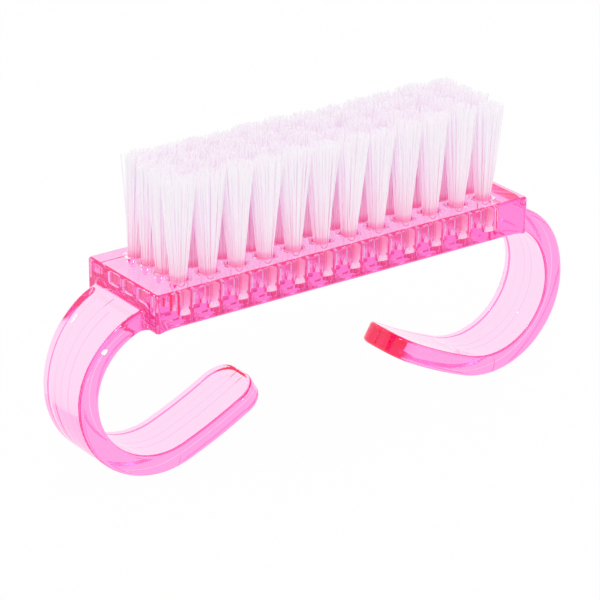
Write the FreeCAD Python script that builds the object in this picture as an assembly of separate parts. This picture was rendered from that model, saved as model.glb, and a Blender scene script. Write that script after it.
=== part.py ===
import FreeCAD, Part
import math
import os

# Nail brush: a clear moulded body with two finger loops, 48 bristle tufts and their anchor plates.
# Millimetres, +Z up, +X along the bar. The brush stands on its loops with the bristles up, and the origin is
# the middle of its footprint on that surface.

# Bar that carries the bristles
bar_length = 49.6
bar_width = 13.7
bar_height = 4.2
bar_corner_radius = 0.5
bar_rim_radius = 0.35

# Finger loops, which curl out of the ends of the bar and back in under it
loop_inner_radius = 7.85
loop_wall = 2.4
loop_side_step = 3.0
loop_inset = 2.4
loop_edge_radius = 0.45
root_fillet_radius = 0.95
root_corner_gap = 0.6
arm_start_angle = 20.5
arm_bend_radius = 60.0
arm_length = 11.25
tip_corner_radius = 2.8

# Mould marks: the parting groove round each loop and the ejector mark on its front side
parting_groove_width = 0.14
parting_groove_depth = 0.06
parting_groove_stop = 1.0
ejector_mark_diameter = 2.8
ejector_mark_depth = 0.05
ejector_mark_angle = -5.0

# Field of tufts
tuft_columns = 12
tuft_rows = 4
column_margin = 4.45
row_margin = 2.725
hole_diameter = 2.1
hole_depth = 3.4

# One tuft: a bundle folded in half over its anchor, spreading towards the tips
tuft_clearance = 0.05
tuft_free_height = 11.9
tuft_flare_power = 1.15
tuft_tip_squareness = 4.0
tuft_steps = 3
tuft_outline_points = 16
tip_gap_along = 0.25
tip_gap_across = 0.19
tuft_tip_round = 0.3
fold_diameter = 1.3
fold_height = 0.8

# Flat anchor plate that wedges a tuft into its hole
anchor_length = 2.36
anchor_height = 1.3
anchor_thickness = 0.28
anchor_depth = 1.2
anchor_clearance = 0.03
anchor_angle = -14.0

# Overrun of every cut past the face that it opens, and how near two places count as the same
overrun = 1.0
same_place = 0.001

# Places worked out from the sizes above
loop_outer_radius = loop_inner_radius + loop_wall
loop_middle_radius = loop_inner_radius + loop_wall / 2
bar_end = bar_length / 2
bar_side = bar_width / 2
loop_side = bar_side - loop_side_step
loop_x = bar_end - loop_inset
loop_z = loop_outer_radius
loop_reach = loop_x + loop_outer_radius
root_widening = loop_side_step - bar_corner_radius - root_corner_gap - root_fillet_radius
bar_bottom = loop_z + loop_inner_radius
bar_top = bar_bottom + bar_height
column_pitch = (bar_length - 2 * column_margin) / (tuft_columns - 1)
row_pitch = (bar_width - 2 * row_margin) / (tuft_rows - 1)
hole_floor = bar_top - hole_depth
anchor_top = bar_top - anchor_depth
anchor_bottom = anchor_top - anchor_height
tuft_bottom = hole_floor + tuft_clearance
tuft_diameter = hole_diameter - 2 * tuft_clearance
tuft_tip_length = column_pitch - tip_gap_along
tuft_tip_width = row_pitch - tip_gap_across
ALONG = FreeCAD.Vector(1, 0, 0)
ACROSS = FreeCAD.Vector(0, 1, 0)
UP = FreeCAD.Vector(0, 0, 1)


def profile_point(x, z):
    return FreeCAD.Vector(x, 0, z)


def around(centre, radius, angle):
    """The point at this angle past the lowest point of a circle in the XZ plane, turning outwards to +X."""
    turn = math.radians(angle)
    return centre + profile_point(radius * math.sin(turn), -radius * math.cos(turn))


def arc(centre, radius, first, last):
    middle = (first + last) / 2
    return Part.Arc(*[around(centre, radius, angle) for angle in (first, middle, last)]).toShape()


def line(first, last):
    return Part.LineSegment(first, last).toShape()


def mirrored(shape, direction=ALONG):
    return shape.mirror(FreeCAD.Vector(0, 0, 0), direction)


# Centres and angles of the +X loop
loop_centre = profile_point(loop_x, loop_z)
root_angle = 180 - math.degrees(math.asin(loop_inset / loop_outer_radius))
root_point = around(loop_centre, loop_outer_radius, root_angle)
arm_centre = around(loop_centre, loop_middle_radius - arm_bend_radius, -arm_start_angle)
arm_end_angle = -arm_start_angle - math.degrees(arm_length / arm_bend_radius)
tip_point = around(arm_centre, arm_bend_radius, arm_end_angle)


def loop_edges(inset):
    """Outline of the +X loop, drawn in from its faces by the inset, from its root to the bar's underside."""
    outer = loop_outer_radius - inset
    inner = loop_inner_radius + inset
    arm_outer = arm_bend_radius + loop_wall / 2 - inset
    arm_inner = arm_bend_radius - loop_wall / 2 + inset
    end = arm_end_angle + math.degrees(inset / arm_bend_radius)
    return [
        arc(loop_centre, outer, root_angle, -arm_start_angle),
        arc(arm_centre, arm_outer, -arm_start_angle, end),
        line(around(arm_centre, arm_outer, end), around(arm_centre, arm_inner, end)),
        arc(arm_centre, arm_inner, end, -arm_start_angle),
        arc(loop_centre, inner, -arm_start_angle, 180),
    ]


def slab(edges, width):
    """The outline that these edges close in the XZ plane, as a solid of this width about Y = 0."""
    wire = Part.Wire(Part.__sortEdges__(edges))
    solid = Part.Face(wire).extrude(ACROSS * width)
    solid.translate(ACROSS * (-width / 2))
    return solid


def box(x_range, y_range, z_range):
    low, high = zip(x_range, y_range, z_range)
    size = [b - a for a, b in zip(low, high)]
    return Part.makeBox(*size, FreeCAD.Vector(*low))


def pick(shape, test):
    return [edge for edge in shape.Edges if test(edge.BoundBox)]


def same(value, place):
    return abs(value - place) < same_place


def stands_at(x, y):
    """Test for an upright edge at this distance from the middle planes."""
    return lambda b: (
        same(abs(b.Center.x), x) and same(abs(b.Center.y), y) and same(b.XLength, 0) and same(b.YLength, 0)
    )


def on_root(b):
    """Test for an edge where a loop comes out of the end of the bar."""
    in_end_plane = same(abs(b.Center.x), bar_end) and same(b.XLength, 0)
    return in_end_plane and max(-b.YMin, b.YMax) < bar_side - same_place


def at_tip(b):
    return same(abs(b.Center.x), tip_point.x) and same(b.Center.z, tip_point.z) and same(b.YLength, 0)


def on_top_rim(b):
    return same(b.ZMin, bar_top)


def under_long_side(b):
    return same(b.ZMax, bar_bottom) and same(b.ZLength, 0) and same(abs(b.Center.y), bar_side)


def round_loop_outside(b):
    return same(b.ZMin, 0) and same(b.YLength, 0) and same(abs(b.Center.y), loop_side)


def beside_upper_loop():
    """What is cut away at +Y of the upper half of the +X loop, which widens in a long arc to its root."""
    rise = root_point.z - loop_z
    bend_radius = (rise**2 + root_widening**2) / (2 * root_widening)
    top = bar_top + overrun
    turn = math.asin((top - loop_z) / bend_radius)
    wall = []
    for t in (0, turn / 2, turn):
        y = loop_side + bend_radius * (1 - math.cos(t))
        wall.append(FreeCAD.Vector(bar_end, y, loop_z + bend_radius * math.sin(t)))
    past = bar_side + overrun
    corners = [wall[-1], FreeCAD.Vector(bar_end, past, top), FreeCAD.Vector(bar_end, past, loop_z), wall[0]]
    edges = [Part.Arc(*wall).toShape()]
    edges += [line(first, last) for first, last in zip(corners, corners[1:])]
    return Part.Face(Part.Wire(edges)).extrude(ALONG * (loop_reach + overrun - bar_end))


def plain_body():
    """Bar and both loops, full width from one outline, with the loops then cut narrower than the bar."""
    top_corner = profile_point(bar_end, bar_top)
    half = [line(profile_point(0, bar_top), top_corner), line(top_corner, root_point)]
    half += loop_edges(0)
    half.append(line(profile_point(loop_x, bar_bottom), profile_point(0, bar_bottom)))
    body = slab(half + [mirrored(edge) for edge in half], bar_width)
    past = loop_reach + overrun
    lower = box((-past, past), (loop_side, bar_side + overrun), (-overrun, loop_z))
    upper = beside_upper_loop()
    cuts = []
    for cut in (lower, upper, mirrored(upper)):
        cuts += [cut, mirrored(cut, ACROSS)]
    return body.cut(Part.makeCompound(cuts)).removeSplitter().Solids[0]


def rounded_body():
    body = plain_body()
    body = body.makeFillet(tip_corner_radius, pick(body, at_tip))
    body = body.makeFillet(loop_edge_radius, pick(body, round_loop_outside))
    body = body.makeFillet(root_fillet_radius, pick(body, on_root))
    body = body.makeFillet(bar_corner_radius, pick(body, stands_at(bar_end, bar_side)))
    body = body.makeFillet(bar_rim_radius, pick(body, on_top_rim))
    return body.makeFillet(bar_rim_radius, pick(body, under_long_side))


def parting_groove():
    """Thin ring cut round the faces of the +X loop at mid width, which stops a little short of the bar."""
    rings = []
    for inset, width in (
        (-parting_groove_depth, parting_groove_width),
        (parting_groove_depth, parting_groove_width + 2 * overrun),
    ):
        edges = loop_edges(inset)
        start = around(loop_centre, loop_outer_radius - inset, root_angle)
        closing = line(edges[-1].Vertexes[-1].Point, start)
        rings.append(slab(edges + [closing], width))
    past = bar_end + parting_groove_stop
    bar = box((-past, past), (-bar_side, bar_side), (bar_bottom - parting_groove_stop, bar_top))
    return rings[0].cut(rings[1]).cut(bar)


def ejector_mark():
    """Shallow round mark on the front side of the +X loop."""
    start = around(loop_centre, loop_middle_radius, ejector_mark_angle)
    start.y = -loop_side - overrun
    return Part.makeCylinder(ejector_mark_diameter / 2, overrun + ejector_mark_depth, start, ACROSS)


def plate(length, thickness, low, high):
    """Upright plate across a hole at the origin, turned to the anchors' angle."""
    half_length, half_thickness = length / 2, thickness / 2
    shape = box((-half_length, half_length), (-half_thickness, half_thickness), (low, high))
    shape.rotate(FreeCAD.Vector(0, 0, 0), UP, anchor_angle)
    return shape


def hole():
    """Blind hole for one tuft, with the slot that its anchor cuts on the way down."""
    bore = Part.makeCylinder(hole_diameter / 2, hole_depth + overrun, FreeCAD.Vector(0, 0, hole_floor))
    slot = plate(
        anchor_length + 2 * anchor_clearance,
        anchor_thickness + 2 * anchor_clearance,
        anchor_bottom - anchor_clearance,
        bar_top + overrun,
    )
    return bore.fuse(slot)


def tuft_outline(share):
    """Outline of a tuft at this share of its free height: ever wider and squarer from hole to tips."""
    spread = share**tuft_flare_power
    half_length = (tuft_diameter + spread * (tuft_tip_length - tuft_diameter)) / 2
    half_width = (tuft_diameter + spread * (tuft_tip_width - tuft_diameter)) / 2
    power = 2 + spread * (tuft_tip_squareness - 2)
    z = bar_top + share * tuft_free_height
    points = []
    for number in range(tuft_outline_points):
        turn = 2 * math.pi * number / tuft_outline_points
        along, across = math.cos(turn), math.sin(turn)
        reach = (abs(along) ** power + abs(across) ** power) ** (-1 / power)
        points.append(FreeCAD.Vector(half_length * reach * along, half_width * reach * across, z))
    curve = Part.BSplineCurve()
    curve.interpolate(points, PeriodicFlag=True)
    return Part.Wire(curve.toShape())


def tuft():
    """Bundle with a narrowed fold at its foot, a slot round the anchor and tips that spread along the bar."""
    fold_top = tuft_bottom + fold_height
    tip = bar_top + tuft_free_height
    fold = Part.makeCone(fold_diameter / 2, tuft_diameter / 2, fold_height, FreeCAD.Vector(0, 0, tuft_bottom))
    shank = Part.makeCylinder(tuft_diameter / 2, bar_top - fold_top, FreeCAD.Vector(0, 0, fold_top))
    mouth = Part.Circle(FreeCAD.Vector(0, 0, bar_top), UP, tuft_diameter / 2)
    outlines = [Part.Wire(mouth.toShape())]
    outlines += [tuft_outline(step / tuft_steps) for step in range(1, tuft_steps + 1)]
    spread = Part.makeLoft(outlines, True)
    rim = pick(spread, lambda b: same(b.ZMin, tip))
    bundle = spread.makeFillet(tuft_tip_round, rim).fuse([shank, fold]).removeSplitter()
    slot = plate(
        anchor_length + overrun,
        anchor_thickness + 2 * anchor_clearance,
        anchor_bottom - anchor_clearance,
        anchor_top + anchor_clearance,
    )
    return bundle.cut(slot).Solids[0]


def anchor():
    return plate(anchor_length, anchor_thickness, anchor_bottom, anchor_top)


def placed(shape, row, column):
    """A copy of a tuft, hole or anchor at its place in the field, counted from the front left."""
    x = (column - (tuft_columns - 1) / 2) * column_pitch
    y = (row - (tuft_rows - 1) / 2) * row_pitch
    copy = shape.copy()
    copy.translate(FreeCAD.Vector(x, y, 0))
    return copy


def clear_body():
    places = [(row, column) for row in range(tuft_rows) for column in range(tuft_columns)]
    one_hole = hole()
    cuts = [placed(one_hole, row, column) for row, column in places]
    for mark in (parting_groove(), ejector_mark()):
        cuts.append(mark)
    cuts.append(mirrored(parting_groove()))
    cuts.append(mirrored(ejector_mark()))
    return rounded_body().cut(Part.makeCompound(cuts)).Solids[0]


def save(name, shape):
    shape.exportStep(os.path.join("parts", name + ".step"))


os.makedirs("parts", exist_ok=True)
save("clear_body", clear_body())
one_tuft = tuft()
one_anchor = anchor()
for row in range(tuft_rows):
    columns = range(tuft_columns)
    for column in columns:
        save(f"tuft_r{row + 1}_c{column + 1:02d}", placed(one_tuft, row, column))
    save(f"anchors_row_{row + 1}", Part.makeCompound([placed(one_anchor, row, column) for column in columns]))
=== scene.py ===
import math

import bpy
import numpy as np
from mathutils import Matrix, Vector


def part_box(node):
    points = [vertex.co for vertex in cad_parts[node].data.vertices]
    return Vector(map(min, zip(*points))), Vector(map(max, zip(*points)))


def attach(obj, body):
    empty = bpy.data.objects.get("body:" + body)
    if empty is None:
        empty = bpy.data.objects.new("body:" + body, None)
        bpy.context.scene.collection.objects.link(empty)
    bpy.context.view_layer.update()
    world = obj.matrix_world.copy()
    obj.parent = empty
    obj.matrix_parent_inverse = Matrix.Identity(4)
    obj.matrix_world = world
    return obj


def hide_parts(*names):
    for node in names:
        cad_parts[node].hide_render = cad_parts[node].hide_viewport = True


# Nail brush: the clear pink body and its wire anchors are the CAD solids, every tuft becomes a bundle of
# folded nylon filaments, and each hole gets the burr that its anchor raised. All lengths are in metres.

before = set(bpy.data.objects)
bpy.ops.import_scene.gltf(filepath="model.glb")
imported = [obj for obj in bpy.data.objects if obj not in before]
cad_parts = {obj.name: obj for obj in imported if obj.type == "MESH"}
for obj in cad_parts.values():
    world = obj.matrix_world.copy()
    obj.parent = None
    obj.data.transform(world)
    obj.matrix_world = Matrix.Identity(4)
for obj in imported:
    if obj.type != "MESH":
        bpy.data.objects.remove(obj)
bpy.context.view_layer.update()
mm = 0.001

# Tuft field, as in the CAD
tuft_rows = 4
tuft_columns = 12
bar_top = 22.3 * mm
hole_radius = 1.05 * mm
anchor_half_thickness = 0.14 * mm
anchor_turn = math.radians(-14.0)

# Filaments
filament_radius = 0.072 * mm
filament_length = 16.0 * mm
filament_sides = 5
filament_bends = 7
filament_spacing = 0.166 * mm
filament_gap = 0.03 * mm
filament_bow = 0.05 * mm
filament_flare = (0.8, 1.2)
merge_distance = 0.002 * mm
mouth_radius = 0.95 * mm
tip_reach_along = 1.95 * mm
tip_reach_across = 1.45 * mm
tip_squareness = 4.0
tip_dome = 0.50 * mm
tip_unevenness = 0.16 * mm
tip_stray = 0.12 * mm
tip_inset = 0.35 * filament_radius
tip_rise = 0.5 * filament_radius
tuft_unevenness = 0.28 * mm
tuft_stray = 0.10 * mm

# Lean of the tips, by column along the bar and by row across it
rear_lean = {0: 1.10 * mm, 1: 0.75 * mm, 2: 0.40 * mm, 3: 0.15 * mm}
end_lean = {0: 0.10 * mm, tuft_columns - 1: 0.30 * mm}
row_lean = {0: -0.12 * mm, tuft_rows - 1: 0.05 * mm}

# Fold of the filaments under the anchor, as shares of their place in the mouth
fold_pinch = 0.62
fold_opening = 1.1
fold_spread = 0.72
fold_rise = 0.30
anchor_squeeze = 0.85
anchor_foot_gap = 0.1 * mm
anchor_head_gap = 0.05 * mm

# Burrs round the holes
burr_width = 0.5 * mm
burr_height = 0.22 * mm
burr_lift = 0.01 * mm
burr_mean = 0.45
burr_anchor_share = 0.25
burr_waves = (3, 5, 7)
burr_wave_share = (0.1, 0.3)
burr_least = 0.08
burr_foot = 0.4

# Floor, aim of the lamps and camera of the photograph
floor_size = 3.0
floor_drop = 0.02 * mm
brush_middle = Vector((0, 0, 17.0 * mm))
camera_azimuth = math.radians(-35.48)
camera_elevation = math.radians(23.25)
camera_roll = math.radians(0.12)
camera_aim = Vector((-1.684, 0, 13.864)) * mm
camera_distance = 362.9 * mm
camera_lens = 197.75


def deselect():
    bpy.ops.object.select_all(action="DESELECT")


# Node helpers

def new_material(name):
    """A material with an empty tree, and its output node."""
    material = bpy.data.materials.new(name)
    material.use_nodes = True
    tree = material.node_tree
    tree.nodes.clear()
    return material, tree, tree.nodes.new("ShaderNodeOutputMaterial")


def node(tree, kind, **values):
    """A node with these properties and input values."""
    made = tree.nodes.new(kind)
    for key, value in values.items():
        if hasattr(made, key):
            setattr(made, key, value)
        else:
            made.inputs[key.replace("_", " ").title()].default_value = value
    return made


def colour_ramp(tree, stops):
    """A colour ramp through (place, colour) stops."""
    ramp = tree.nodes.new("ShaderNodeValToRGB")
    elements = ramp.color_ramp.elements
    while len(elements) < len(stops):
        elements.new(0.5)
    for element, (place, colour) in zip(elements, stops):
        element.position = place
        element.color = (*colour, 1)
    return ramp


def drawn_streaks_group():
    """Long fine streaks, as drawing through a die leaves on nylon and wire: a mask from 0 to 1."""
    group = bpy.data.node_groups.new("drawn_streaks", "ShaderNodeTree")
    face = group.interface
    face.new_socket("Stretch", in_out="INPUT", socket_type="NodeSocketVector")
    face.new_socket("Contrast", in_out="INPUT", socket_type="NodeSocketFloat")
    face.new_socket("Mask", in_out="OUTPUT", socket_type="NodeSocketFloat")
    start = group.nodes.new("NodeGroupInput")
    end = group.nodes.new("NodeGroupOutput")
    place = group.nodes.new("ShaderNodeTexCoord")
    stretch = node(group, "ShaderNodeVectorMath", operation="MULTIPLY")
    noise = node(group, "ShaderNodeTexNoise", scale=1.0, detail=2.0, roughness=0.6)
    contrast = node(group, "ShaderNodeMath", operation="MULTIPLY_ADD", use_clamp=True)
    middle = node(group, "ShaderNodeMath", operation="SUBTRACT")
    middle.inputs[1].default_value = 0.5
    contrast.inputs[2].default_value = 0.5
    link = group.links.new
    link(place.outputs["Object"], stretch.inputs[0])
    link(start.outputs["Stretch"], stretch.inputs[1])
    link(stretch.outputs[0], noise.inputs["Vector"])
    link(noise.outputs["Fac"], middle.inputs[0])
    link(middle.outputs[0], contrast.inputs[0])
    link(start.outputs["Contrast"], contrast.inputs[1])
    link(contrast.outputs[0], end.inputs["Mask"])
    return group


def streaks(tree, group, stretch, contrast):
    """The streaks in a material, at this stretch and contrast."""
    made = tree.nodes.new("ShaderNodeGroup")
    made.node_tree = group
    made.inputs["Stretch"].default_value = stretch
    made.inputs["Contrast"].default_value = contrast
    return made


# Materials

def clear_pink_plastic(streak_group):
    """Clear tinted polystyrene, glossy from the mould, with faint flow lines along the bar."""
    material, tree, out = new_material("clear_pink_plastic")
    link = tree.links.new
    shader = node(tree, "ShaderNodeBsdfPrincipled")
    shader.inputs["Transmission Weight"].default_value = 1.0
    shader.inputs["IOR"].default_value = 1.57
    flow = streaks(tree, streak_group, (40.0, 160.0, 160.0), 1.2)
    tint = colour_ramp(tree, [(0.0, (1.0, 0.975, 1.0)), (1.0, (1.0, 0.99, 1.0))])
    gloss = node(tree, "ShaderNodeMapRange")
    gloss.inputs["To Min"].default_value = 0.0
    gloss.inputs["To Max"].default_value = 0.01
    dye = node(tree, "ShaderNodeVolumeAbsorption")
    dye.inputs["Color"].default_value = (1.0, 0.10, 0.77, 1)
    dye.inputs["Density"].default_value = 135.0
    link(flow.outputs["Mask"], tint.inputs["Fac"])
    link(tint.outputs["Color"], shader.inputs["Base Color"])
    link(flow.outputs["Mask"], gloss.inputs["Value"])
    link(gloss.outputs["Result"], shader.inputs["Roughness"])
    link(shader.outputs["BSDF"], out.inputs["Surface"])
    link(dye.outputs["Volume"], out.inputs["Volume"])
    return material


def nylon_filament(streak_group):
    """Natural white nylon, streaked along the filament, with painted pink light from the bar near its root.
    """
    material, tree, out = new_material("nylon_filament")
    link = tree.links.new
    shader = node(tree, "ShaderNodeBsdfPrincipled")
    shader.inputs["IOR"].default_value = 1.53
    place = tree.nodes.new("ShaderNodeTexCoord")
    split = tree.nodes.new("ShaderNodeSeparateXYZ")
    height = node(tree, "ShaderNodeMapRange")
    low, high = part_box("tuft_r1_c01")
    height.inputs["From Min"].default_value = low.z
    height.inputs["From Max"].default_value = high.z
    # Painted light: by height, the pink light that the bar sheds on the filaments is painted into their
    # colour, deepest inside the holes and fading out above the bar's top.
    light = colour_ramp(tree, [
        (0.0, (1.0, 0.97, 0.995)), (0.04, (1.0, 0.94, 0.98)), (0.09, (1.0, 0.62, 0.78)),
        (0.14, (1.0, 0.50, 0.70)), (0.215, (1.0, 0.46, 0.68)), (0.245, (1.0, 0.56, 0.80)),
        (0.275, (1.0, 0.85, 0.935)), (0.36, (1.0, 0.93, 0.977)), (0.47, (1.0, 0.958, 0.991)),
        (0.62, (0.998, 0.978, 1.0)), (0.80, (0.993, 0.984, 1.0)), (1.0, (0.996, 0.982, 0.998)),
    ])
    shade = colour_ramp(tree, [(0.0, (1.0, 0.955, 0.975)), (0.5, (1.0, 1.0, 1.0))])
    mix = node(tree, "ShaderNodeMix", data_type="RGBA", blend_type="MULTIPLY")
    mix.inputs["Factor"].default_value = 1.0
    drawn = streaks(tree, streak_group, (5200.0, 5200.0, 90.0), 1.8)
    gloss = node(tree, "ShaderNodeMapRange")
    gloss.inputs["To Min"].default_value = 0.28
    gloss.inputs["To Max"].default_value = 0.5
    link(place.outputs["Object"], split.inputs["Vector"])
    link(split.outputs["Z"], height.inputs["Value"])
    link(height.outputs["Result"], light.inputs["Fac"])
    link(drawn.outputs["Mask"], shade.inputs["Fac"])
    link(light.outputs["Color"], mix.inputs[6])
    link(shade.outputs["Color"], mix.inputs[7])
    link(mix.outputs[2], shader.inputs["Base Color"])
    link(drawn.outputs["Mask"], gloss.inputs["Value"])
    link(gloss.outputs["Result"], shader.inputs["Roughness"])
    link(shader.outputs["BSDF"], out.inputs["Surface"])
    return material


def anchor_wire(streak_group):
    """Flat bright drawn wire, with die marks along its length."""
    material, tree, out = new_material("anchor_wire")
    link = tree.links.new
    shader = node(tree, "ShaderNodeBsdfPrincipled")
    shader.inputs["Metallic"].default_value = 1.0
    drawn = streaks(tree, streak_group, (300.0, 300.0, 9000.0), 2.2)
    grey = colour_ramp(tree, [(0.0, (0.72, 0.70, 0.73)), (1.0, (0.94, 0.92, 0.95))])
    gloss = node(tree, "ShaderNodeMapRange")
    gloss.inputs["To Min"].default_value = 0.30
    gloss.inputs["To Max"].default_value = 0.55
    link(drawn.outputs["Mask"], grey.inputs["Fac"])
    link(grey.outputs["Color"], shader.inputs["Base Color"])
    link(drawn.outputs["Mask"], gloss.inputs["Value"])
    link(gloss.outputs["Result"], shader.inputs["Roughness"])
    link(shader.outputs["BSDF"], out.inputs["Surface"])
    return material


# Bristles

def straight_filament():
    """One side of a folded filament, straight and upright, with a ring of edges wherever it bends."""
    deselect()
    bpy.ops.mesh.primitive_cylinder_add(
        vertices=filament_sides, radius=filament_radius, depth=filament_length,
        location=(0, 0, filament_length / 2), rotation=(0, 0, math.pi / 2),
    )
    bpy.ops.object.transform_apply(location=True, rotation=True, scale=True)
    filament = bpy.context.object
    mesh = filament.data
    bpy.ops.object.mode_set(mode="EDIT")
    bpy.ops.mesh.select_mode(type="EDGE")
    bpy.ops.mesh.select_all(action="DESELECT")
    bpy.ops.object.mode_set(mode="OBJECT")
    for edge in mesh.edges:
        a, b = (mesh.vertices[i].co for i in edge.vertices)
        edge.select = abs(a.z - b.z) > filament_length / 2
    bpy.ops.object.mode_set(mode="EDIT")
    bpy.ops.mesh.subdivide(number_cuts=filament_bends - 1)
    bpy.ops.mesh.select_mode(type="FACE")
    bpy.ops.mesh.select_all(action="DESELECT")
    bpy.ops.object.mode_set(mode="OBJECT")
    for face in mesh.polygons:
        face.select = face.normal.z > 0.9
    bpy.ops.object.mode_set(mode="EDIT")
    bpy.ops.mesh.inset(thickness=tip_inset)
    bpy.ops.transform.translate(value=(0, 0, tip_rise))
    bpy.ops.mesh.select_all(action="DESELECT")
    bpy.ops.object.mode_set(mode="OBJECT")
    for face in mesh.polygons:
        face.select = face.normal.z < -0.9
    bpy.ops.object.mode_set(mode="EDIT")
    bpy.ops.mesh.delete(type="FACE")
    bpy.ops.object.mode_set(mode="OBJECT")
    return filament


def mouth_places():
    """Where filaments stand in the mouth of a hole: a close-packed field, mirrored across the anchor."""
    places = []
    lift = filament_spacing * math.sin(math.radians(60))
    reach = mouth_radius - filament_radius
    lines = math.ceil(reach / lift)
    count = math.ceil(reach / filament_spacing)
    for number in range(lines):
        y = (number + 0.5) * lift
        for k in range(-count, count + 1):
            x = (k + (number % 2) / 2) * filament_spacing
            if math.hypot(x, y) <= reach:
                places += [(x, y), (x, -y)]
    return places


def straight_bundle():
    """All the filaments of one tuft, straight and upright, as one mesh at the origin."""
    filament = straight_filament()
    copies = []
    for x, y in mouth_places():
        copy = bpy.data.objects.new("filament_copy", filament.data.copy())
        copy.data.transform(Matrix.Translation((x, y, 0)))
        bpy.context.collection.objects.link(copy)
        copies.append(copy)
    bpy.data.objects.remove(filament)
    deselect()
    for copy in copies:
        copy.select_set(True)
    bpy.context.view_layer.objects.active = copies[0]
    bpy.ops.object.join()
    return bpy.context.object


def folded_paths(places, centre, foot, tip, lean, cell, dice):
    """The line of every filament from its fold under the anchor to its tip, as (filament, bend, xyz)."""
    x, y = places.T
    side, off = np.sign(y), np.abs(y)
    low, high = (corner.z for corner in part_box("anchors_row_1"))
    share = (off - off.min()) / (off.max() - off.min())
    inner = low - filament_gap - filament_radius
    fold = inner - share * (inner - foot - filament_radius)
    near = anchor_half_thickness + filament_gap + filament_radius
    squeezed = anchor_squeeze * x
    room = np.sqrt((hole_radius - filament_gap - filament_radius) ** 2 - squeezed**2)
    reach = mouth_radius - filament_radius
    edge = np.maximum(np.sqrt(np.maximum(reach**2 - x**2, 0)), off)
    first = off.min()
    part = np.where(edge > first, (off - first) / np.maximum(edge - first, 1e-9), 0)
    beside = side * (near + part * np.maximum(room - near, 0))
    pinched = fold_pinch * x
    below = [
        (pinched, 0 * y, fold),
        (pinched * fold_opening, beside * fold_spread, fold + fold_rise * (low - fold)),
        (squeezed, beside, np.full_like(x, low + anchor_foot_gap)),
        (squeezed, beside, np.full_like(x, high - anchor_head_gap)),
        (x, y, np.full_like(x, bar_top)),
    ]
    turn = np.array(Matrix.Rotation(anchor_turn, 2))
    base = places @ turn.T
    wide = np.hypot(*(base / reach).T)
    heading = base / (reach * wide[:, None])
    square = np.sum(np.abs(heading) ** tip_squareness, 1, keepdims=True) ** (-1 / tip_squareness)
    tips = base / reach * square * (tip_reach_along, tip_reach_across)
    tips = np.clip(tips + dice.normal(0, tip_stray, base.shape) + lean, *cell)
    drop = tip_dome * wide**2 + np.abs(dice.normal(0, tip_unevenness, len(x)))
    drop += abs(dice.normal(0, tuft_unevenness))
    ends = tip - filament_radius - drop
    bow = dice.normal(0, filament_bow, base.shape)
    flare = dice.uniform(*filament_flare, (len(x), 1))
    bends = []
    for line in below:
        flat = np.stack(line[:2], 1) @ turn.T
        bends.append(np.column_stack([flat, line[2]]))
    for u in (1 / 3, 2 / 3, 1.0):
        flat = base + (tips - base) * u**flare + bow * 4 * u * (1 - u)
        bends.append(np.column_stack([flat, bar_top + (ends - bar_top) * u]))
    return np.stack(bends, 1) + (centre.x, centre.y, 0)


def bend_bundle(mesh, paths, places):
    """Moves each straight filament of the mesh on to its path, with its rings square to it."""
    co = np.empty(len(mesh.vertices) * 3)
    mesh.vertices.foreach_get("co", co)
    co = co.reshape(len(places), -1, 3)
    along = co[0, :, 2] / filament_length * filament_bends
    first = np.clip(np.floor(along).astype(int), 0, filament_bends - 1)
    rest = (along - first)[None, :, None]
    middle = paths[:, first] * (1 - rest) + paths[:, first + 1] * rest
    tangents = np.gradient(paths, axis=1)
    tangents /= np.linalg.norm(tangents, axis=2, keepdims=True)
    ahead = tangents[:, first] * (1 - rest) + tangents[:, first + 1] * rest
    ahead /= np.linalg.norm(ahead, axis=2, keepdims=True)
    across = np.array((math.cos(anchor_turn), math.sin(anchor_turn), 0.0))
    wide = across - ahead * (ahead @ across)[..., None]
    wide /= np.linalg.norm(wide, axis=2, keepdims=True)
    deep = np.cross(ahead, wide)
    dx = co[:, :, 0] - places[:, None, 0]
    dy = co[:, :, 1] - places[:, None, 1]
    moved = middle + wide * dx[..., None] + deep * dy[..., None]
    mesh.vertices.foreach_set("co", moved.reshape(-1))
    mesh.update()


def tuft_lean(row, column):
    """How far the tips of a tuft stand off its hole: the rear left ones lean in, the last column out."""
    along = rear_lean.get(column, 0.0) * row / (tuft_rows - 1) + end_lean.get(column, 0.0)
    return np.array((along, row_lean.get(row, 0.0)))


def tuft_centre(row, column):
    """The middle of a hole, as (x, y)."""
    low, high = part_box(f"tuft_r{row + 1}_c{column + 1:02d}")
    return np.array((low + high) / 2)[:2]


def tip_cell(row, column):
    """How far the tips of a tuft may reach from its hole: half way to the tips of each neighbour."""
    centre = tuft_centre(row, column)
    cell = np.array(((-np.inf, -np.inf), (np.inf, np.inf)))
    for axis, (row_step, column_step) in enumerate(((0, 1), (1, 0))):
        for end, way in enumerate((-1, 1)):
            there = row + way * row_step, column + way * column_step
            if 0 <= there[0] < tuft_rows and 0 <= there[1] < tuft_columns:
                middle = (tuft_centre(*there) - centre + tuft_lean(*there) + tuft_lean(row, column)) / 2
                cell[end, axis] = middle[axis] - way * (filament_radius + filament_gap / 2)
    return cell


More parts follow.
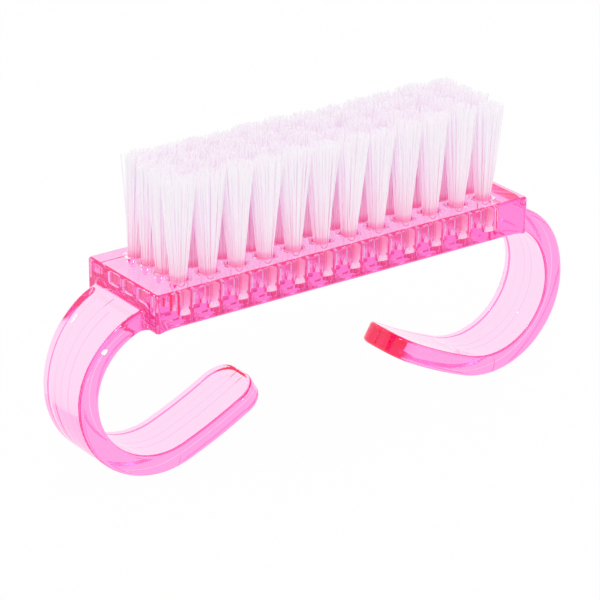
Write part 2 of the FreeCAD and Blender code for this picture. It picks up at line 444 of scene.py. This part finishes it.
def bristle_tuft(bundle, row, column, material):
    """The filaments of one tuft, in place of its CAD solid."""
    cad_name = f"tuft_r{row + 1}_c{column + 1:02d}"
    low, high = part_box(cad_name)
    dice = np.random.default_rng(100 * row + column + 7)
    mesh = bundle.data.copy()
    count = len(mouth_places())
    co = np.empty(len(mesh.vertices) * 3)
    mesh.vertices.foreach_get("co", co)
    places = co.reshape(count, -1, 3)[:, :filament_sides, :2].mean(axis=1)
    lean = tuft_lean(row, column) + dice.normal(0, tuft_stray, 2)
    cell = tip_cell(row, column)
    paths = folded_paths(places, (low + high) / 2, low.z, high.z, lean, cell, dice)
    bend_bundle(mesh, paths, places)
    tuft = bpy.data.objects.new(f"bristles_r{row + 1}_c{column + 1:02d}", mesh)
    bpy.context.collection.objects.link(tuft)
    deselect()
    tuft.select_set(True)
    bpy.context.view_layer.objects.active = tuft
    bpy.ops.object.mode_set(mode="EDIT")
    bpy.ops.mesh.select_all(action="SELECT")
    bpy.ops.mesh.remove_doubles(threshold=merge_distance)
    bpy.ops.object.mode_set(mode="OBJECT")
    mesh.materials.clear()
    mesh.materials.append(material)
    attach(tuft, "root")
    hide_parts(cad_name)


# Burrs

def plain_burr():
    """A low ring of plastic round a hole at the origin, just clear of the bar's top."""
    deselect()
    bpy.ops.mesh.primitive_torus_add(
        major_segments=28, minor_segments=8, location=(0, 0, bar_top),
        major_radius=hole_radius + burr_width / 2, minor_radius=burr_width / 2,
    )
    bpy.ops.object.transform_apply(location=True, rotation=True, scale=True)
    bpy.ops.object.shade_smooth()
    return bpy.context.object


def hole_burr(ring, row, column, material):
    """The uneven rim that driving in an anchor raised round a hole: highest at the two ends of the anchor."""
    row_pitch = tuft_centre(1, column)[1] - tuft_centre(0, column)[1]
    dice = np.random.default_rng(100 * row + column + 31)
    mesh = ring.data.copy()
    co = np.empty(len(mesh.vertices) * 3)
    mesh.vertices.foreach_get("co", co)
    co = co.reshape(-1, 3)
    turn = np.arctan2(co[:, 1], co[:, 0])
    lumps = burr_mean + burr_anchor_share * np.cos(2 * (turn - anchor_turn))
    for waves in burr_waves:
        lumps += dice.uniform(*burr_wave_share) * np.cos(waves * turn + dice.uniform(0, 2 * math.pi))
    lumps = np.clip(lumps, burr_least, 1.0)[:, None]
    flat = co[:, :2]
    wall = hole_radius * flat / np.hypot(*flat.T)[:, None]
    rise = np.maximum(co[:, 2] - bar_top, 0)
    room = row_pitch / 2 - burr_lift
    edge = room / np.maximum(np.abs(np.sin(turn)), room / (hole_radius + burr_width))
    spread = burr_foot + (1 - burr_foot) * lumps
    spread = np.minimum(spread, (edge[:, None] - hole_radius) / burr_width)
    co[:, :2] = wall + (flat - wall) * spread + tuft_centre(row, column)
    co[:, 2] = bar_top + burr_lift + rise * lumps[:, 0] * burr_height / (burr_width / 2)
    mesh.vertices.foreach_set("co", co.reshape(-1))
    mesh.update()
    burr = bpy.data.objects.new(f"hole_burr_r{row + 1}_c{column + 1:02d}", mesh)
    bpy.context.collection.objects.link(burr)
    mesh.materials.clear()
    mesh.materials.append(material)
    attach(burr, "root")


# Floor, light and camera

def seen_ray(tree):
    """1 for rays that show the surroundings to the eye, straight or by way of gloss and clear plastic."""
    path = tree.nodes.new("ShaderNodeLightPath")
    first = node(tree, "ShaderNodeMath", operation="MAXIMUM")
    second = node(tree, "ShaderNodeMath", operation="MAXIMUM")
    tree.links.new(path.outputs["Is Camera Ray"], first.inputs[0])
    tree.links.new(path.outputs["Is Glossy Ray"], first.inputs[1])
    tree.links.new(first.outputs[0], second.inputs[0])
    tree.links.new(path.outputs["Is Transmission Ray"], second.inputs[1])
    return second.outputs[0]


def white_floor():
    """A wide pale table top that fades to white and keeps a soft shadow."""
    deselect()
    bpy.ops.mesh.primitive_plane_add(size=floor_size, location=(0, 0, -floor_drop))
    floor = bpy.context.object
    floor.name = "floor"
    material, tree, out = new_material("white_table")
    link = tree.links.new
    paint = node(tree, "ShaderNodeBsdfDiffuse")
    paint.inputs["Color"].default_value = (0.92, 0.92, 0.92, 1)
    glow = node(tree, "ShaderNodeEmission")
    glow.inputs["Strength"].default_value = 1.0
    share = node(tree, "ShaderNodeMath", operation="MULTIPLY")
    share.inputs[1].default_value = 0.97
    mix = tree.nodes.new("ShaderNodeMixShader")
    link(seen_ray(tree), share.inputs[0])
    link(share.outputs[0], mix.inputs["Fac"])
    link(paint.outputs["BSDF"], mix.inputs[1])
    link(glow.outputs["Emission"], mix.inputs[2])
    link(mix.outputs["Shader"], out.inputs["Surface"])
    floor.data.materials.append(material)


def white_room():
    """Even white surroundings, a little dimmer as light than as seen."""
    world = bpy.data.worlds.new("white_room")
    bpy.context.scene.world = world
    world.use_nodes = True
    tree = world.node_tree
    tree.nodes.clear()
    link = tree.links.new
    out = tree.nodes.new("ShaderNodeOutputWorld")
    seen = node(tree, "ShaderNodeBackground", strength=1.0)
    seen.inputs["Color"].default_value = (1, 1, 1, 1)
    shed = node(tree, "ShaderNodeBackground", strength=0.84)
    shed.inputs["Color"].default_value = (0.99, 0.99, 1.0, 1)
    mix = tree.nodes.new("ShaderNodeMixShader")
    link(seen_ray(tree), mix.inputs["Fac"])
    link(shed.outputs["Background"], mix.inputs[1])
    link(seen.outputs["Background"], mix.inputs[2])
    link(mix.outputs["Shader"], out.inputs["Surface"])


def soft_box(name, place, width, height, roll, power):
    """A lamp that faces the middle of the brush, turned from upright by the roll."""
    lamp = bpy.data.lights.new(name, "AREA")
    lamp.shape = "RECTANGLE"
    lamp.size = width
    lamp.size_y = height
    lamp.energy = power
    holder = bpy.data.objects.new(name, lamp)
    holder.location = place
    holder.rotation_mode = "QUATERNION"
    facing = (brush_middle - Vector(place)).to_track_quat("-Z", "Y")
    holder.rotation_quaternion = facing @ Matrix.Rotation(math.radians(roll), 3, "Z").to_quaternion()
    bpy.context.collection.objects.link(holder)


def photo_camera():
    """The camera of the photograph."""
    level = Vector((math.sin(camera_azimuth), -math.cos(camera_azimuth), 0))
    back = level * math.cos(camera_elevation) + Vector((0, 0, math.sin(camera_elevation)))
    data = bpy.data.cameras.new("photo_camera")
    data.sensor_width = 36.0
    data.lens = camera_lens
    data.clip_start = 0.01
    data.clip_end = 10.0
    camera = bpy.data.objects.new("photo_camera", data)
    camera.rotation_mode = "QUATERNION"
    camera.location = camera_aim + back * camera_distance
    facing = (-back).to_track_quat("-Z", "Y")
    camera.rotation_quaternion = facing @ Matrix.Rotation(camera_roll, 3, "Z").to_quaternion()
    bpy.context.collection.objects.link(camera)
    bpy.context.scene.camera = camera


def light_paths():
    """Enough bounces for a ray that crosses all four rows of holes."""
    cycles = bpy.context.scene.cycles
    cycles.max_bounces = 192
    cycles.transmission_bounces = 128
    cycles.glossy_bounces = 128
    cycles.diffuse_bounces = 64
    cycles.blur_glossy = 0.0


# The brush

streak_group = drawn_streaks_group()
plastic = clear_pink_plastic(streak_group)
nylon = nylon_filament(streak_group)
wire = anchor_wire(streak_group)
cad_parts["clear_body"].material_slots[0].material = plastic
for row in range(tuft_rows):
    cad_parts[f"anchors_row_{row + 1}"].material_slots[0].material = wire
bundle = straight_bundle()
ring = plain_burr()
for row in range(tuft_rows):
    for column in range(tuft_columns):
        bristle_tuft(bundle, row, column, nylon)
        hole_burr(ring, row, column, plastic)
bpy.data.objects.remove(bundle)
bpy.data.objects.remove(ring)

white_floor()
white_room()
soft_box("key_light", place=(-0.30, -0.30, 0.50), width=0.12, height=0.12, roll=0, power=0.45)
soft_box("fill_light", place=(0.45, -0.25, 0.35), width=0.16, height=0.16, roll=0, power=0.2)
soft_box("strip_light", place=(-0.215, 0.375, 0.27), width=0.006, height=0.06, roll=41, power=0.014)
photo_camera()
light_paths()
bpy.context.scene.view_settings.view_transform = "Standard"
